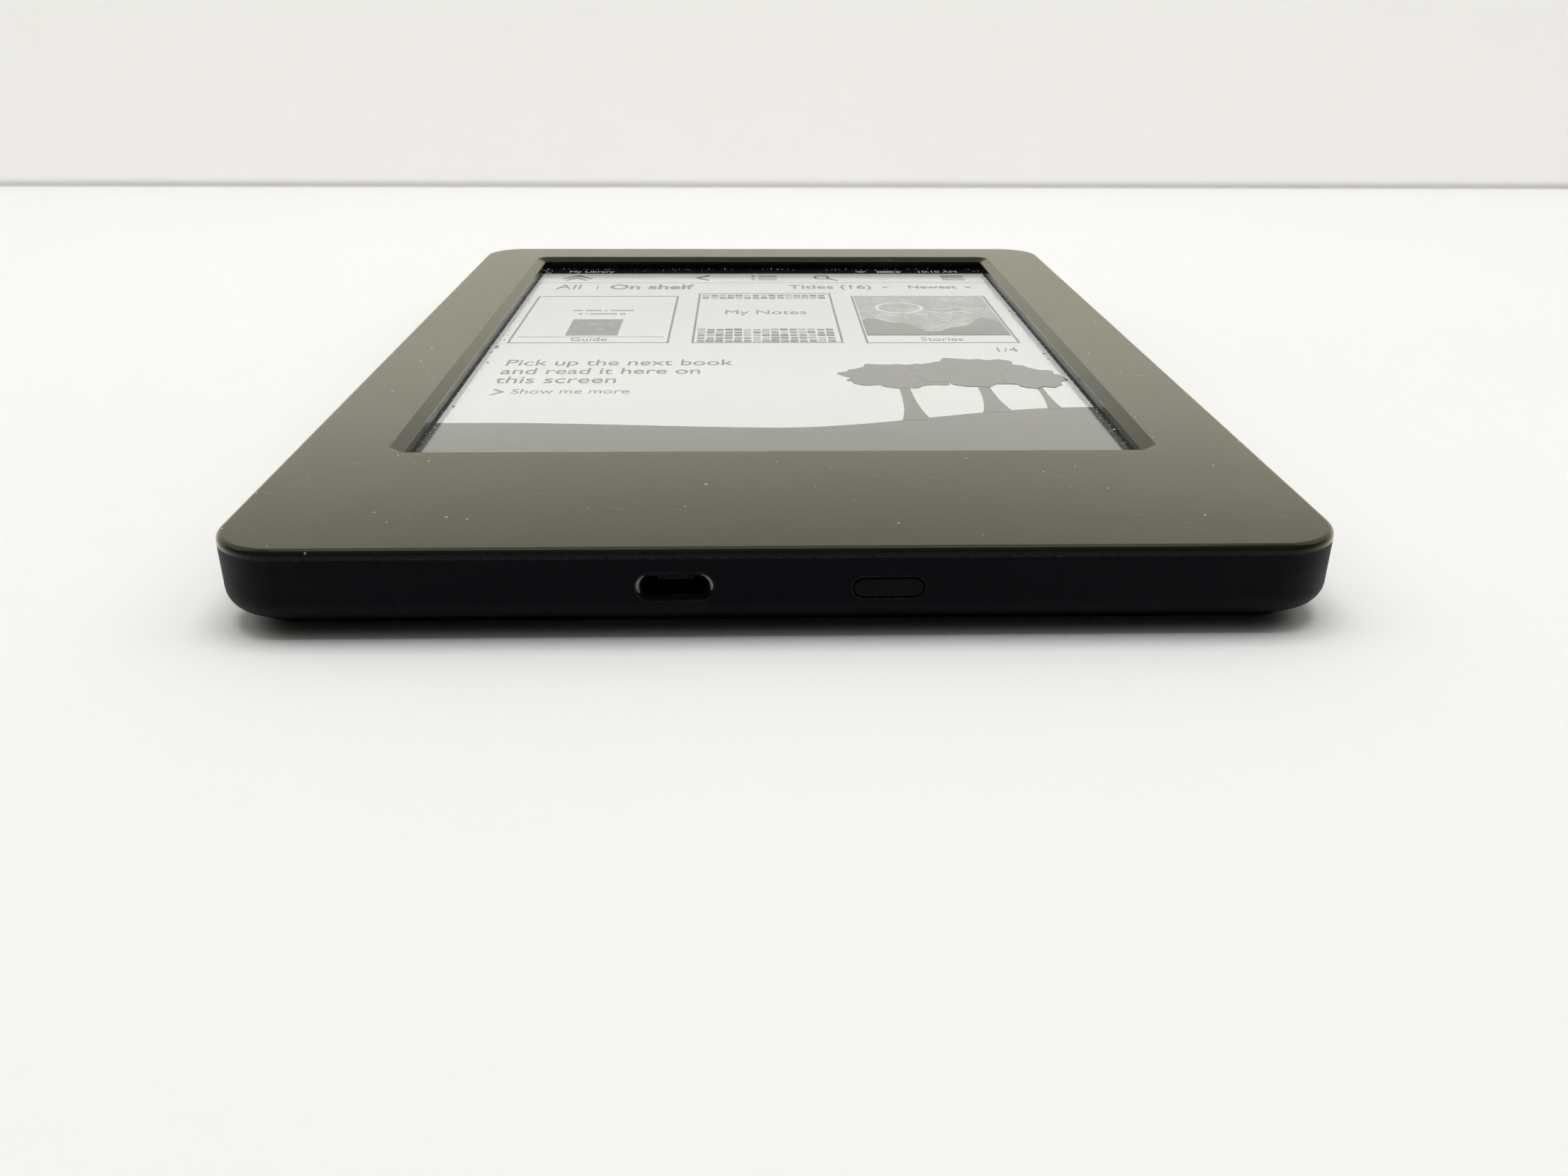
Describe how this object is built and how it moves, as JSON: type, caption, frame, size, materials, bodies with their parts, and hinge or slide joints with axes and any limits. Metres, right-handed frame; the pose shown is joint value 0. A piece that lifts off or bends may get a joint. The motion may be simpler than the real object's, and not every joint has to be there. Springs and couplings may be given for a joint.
{
  "type": "e-reader",
  "caption": "Six-inch touch e-reader: bevelled rear cover, recessed paper-like screen in a flat bezel, port and sprung power button on the bottom edge.",
  "frame": {"origin": "middle of the flat back, on the surface the reader lies on", "axes": "+X to the reader's right, +Y to its top edge, +Z out of the screen"},
  "size_m": [0.119, 0.169, 0.0102],
  "materials": {
    "cover_plastic": "matte",
    "bezel_plastic": "matte",
    "guide_plastic": "gloss",
    "button_plastic": "satin",
    "seal_foam": "matte",
    "screen_sheet": "matte",
    "screen_glass": "gloss",
    "board_laminate": "satin",
    "flex_film": "satin",
    "chip_resin": "matte",
    "diode_resin": "gloss",
    "light_metal": "satin",
    "steel": "satin",
    "contact_gold": "satin",
    "socket_plastic": "matte",
    "cell_pouch": "satin",
    "tape_foam": "matte",
    "lead_sleeve": "matte",
    "cable_sleeve": "matte"
  },
  "bodies": {
    "case": {"antenna_cable": "cable_sleeve", "antenna_carrier": "chip_resin", "antenna_strip": "contact_gold", "battery_board": "board_laminate", "battery_cell": "cell_pouch", "battery_header": "socket_plastic", "battery_leads": "lead_sleeve", "battery_plug": "socket_plastic", "battery_tape": "tape_foam", "board_screws": "steel", "capacitors": "socket_plastic", "display_connector": "socket_plastic", "display_driver": "chip_resin", "display_pads": "tape_foam", "dust_seal": "seal_foam", "epaper_sheet": "screen_sheet", "frame_screws": "steel", "front_bezel": "bezel_plastic", "indicator_led": "diode_resin", "inductors": "chip_resin", "ir_detectors": "diode_resin", "ir_emitters": "diode_resin", "light_guide_frame": "guide_plastic", "main_board": "board_laminate", "memory_chip": "chip_resin", "midframe": "light_metal", "panel_power_chip": "chip_resin", "port_contacts": "contact_gold", "port_shell": "steel", "port_tongue": "socket_plastic", "power_chip": "chip_resin", "processor": "chip_resin", "radio_chip": "chip_resin", "rear_cover": "cover_plastic", "rf_shield": "steel", "screen_flex": "flex_film", "storage_chip": "chip_resin", "switch_body": "steel", "tft_backplane": "screen_glass", "touch_board": "board_laminate", "touch_chip": "chip_resin", "touch_connector": "socket_plastic", "touch_flex": "flex_film"},
    "button": {"power_button": "button_plastic"},
    "plunger": {"switch_plunger": "socket_plastic"}
  },
  "joints": [
    {"name": "button_press", "type": "slide", "parent": "case", "child": "button", "axis": [0, 1, 0], "range_m": [0, 0.0003], "stiffness_N_per_m": 5300},
    {"name": "plunger_press", "type": "slide", "parent": "case", "child": "plunger", "axis": [0, 1, 0], "range_m": [0, 0.0003]}
  ],
  "couplings": [
    {"joint": "plunger_press", "follows": "button_press", "ratio": 1}
  ]
}
